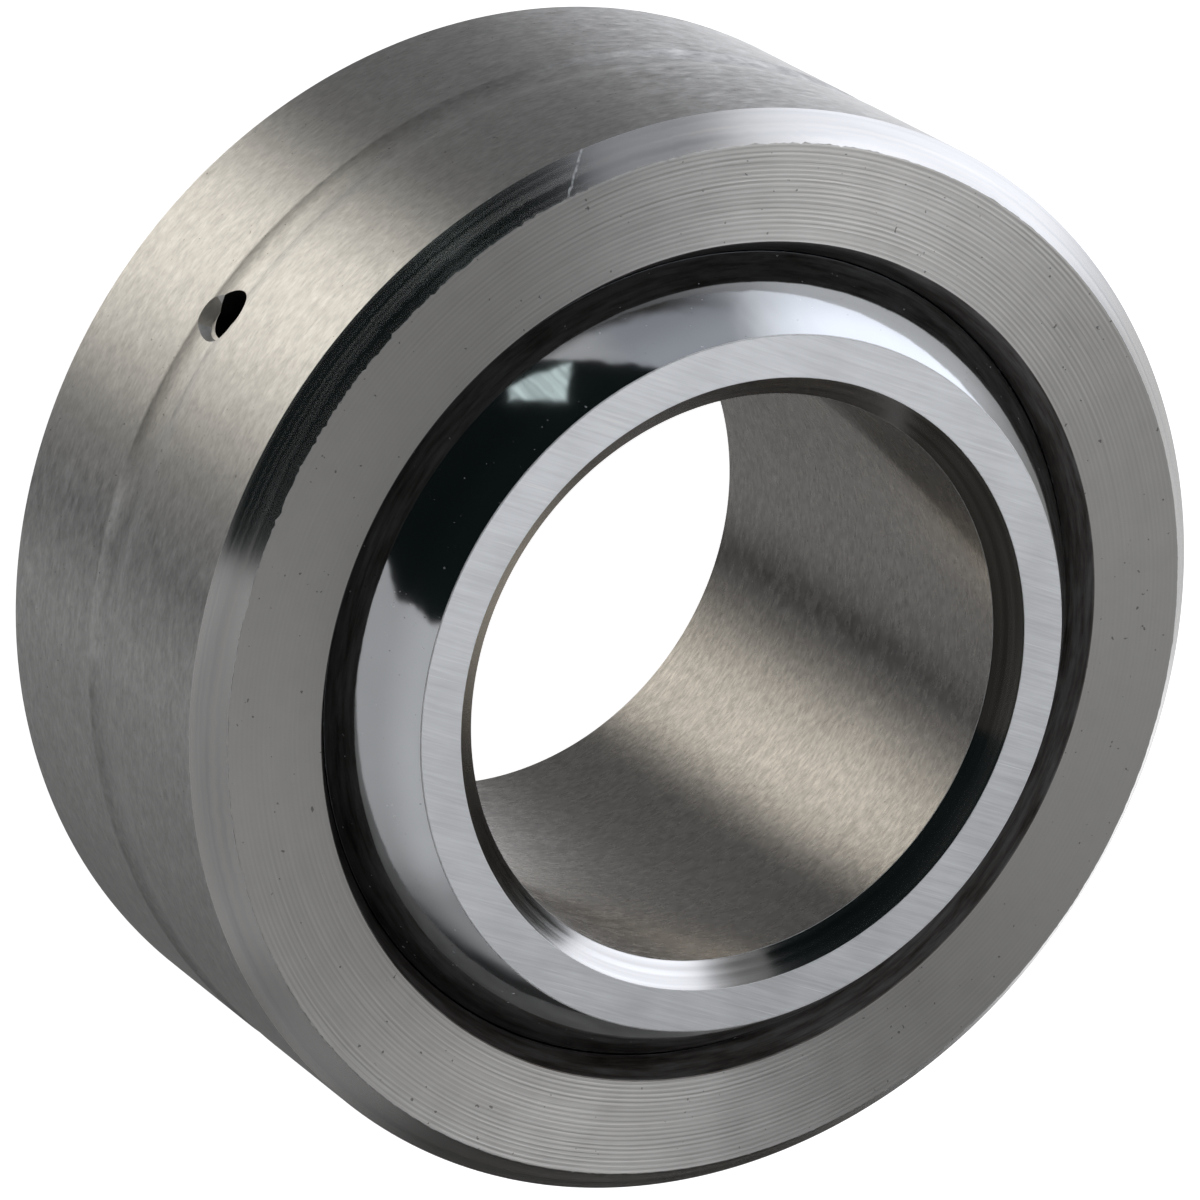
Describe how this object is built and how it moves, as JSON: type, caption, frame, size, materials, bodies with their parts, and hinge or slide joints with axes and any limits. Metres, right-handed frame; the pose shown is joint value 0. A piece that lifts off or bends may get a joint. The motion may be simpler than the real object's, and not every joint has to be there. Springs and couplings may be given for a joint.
{
  "type": "spherical plain bearing",
  "caption": "Spherical plain bearing: a bored ball that turns and tilts in a one-piece swaged outer race with an oil groove and an oil hole.",
  "frame": {"origin": "centre of the ball, on the bore axis, at the middle of both the ball's and the race's width", "axes": "+Z along the bore axis; +X out through the oil hole; the part stands on the ball's lower flat face"},
  "size_m": [0.0366, 0.0366, 0.019],
  "materials": {
    "race_steel": "ground outside, turned faces, satin",
    "ball_chrome": "polished hard chrome sphere, ground faces and bore"
  },
  "bodies": {
    "outer_race": {"outer_race": "race_steel"},
    "ball": {"ball": "ball_chrome"}
  },
  "joints": [
    {"name": "ball_tilt", "type": "hinge", "parent": "outer_race", "child": "ball", "pos_m": [0, 0, 0], "axis": [1, 0, 0], "range_deg": [-9, 9]}
  ]
}
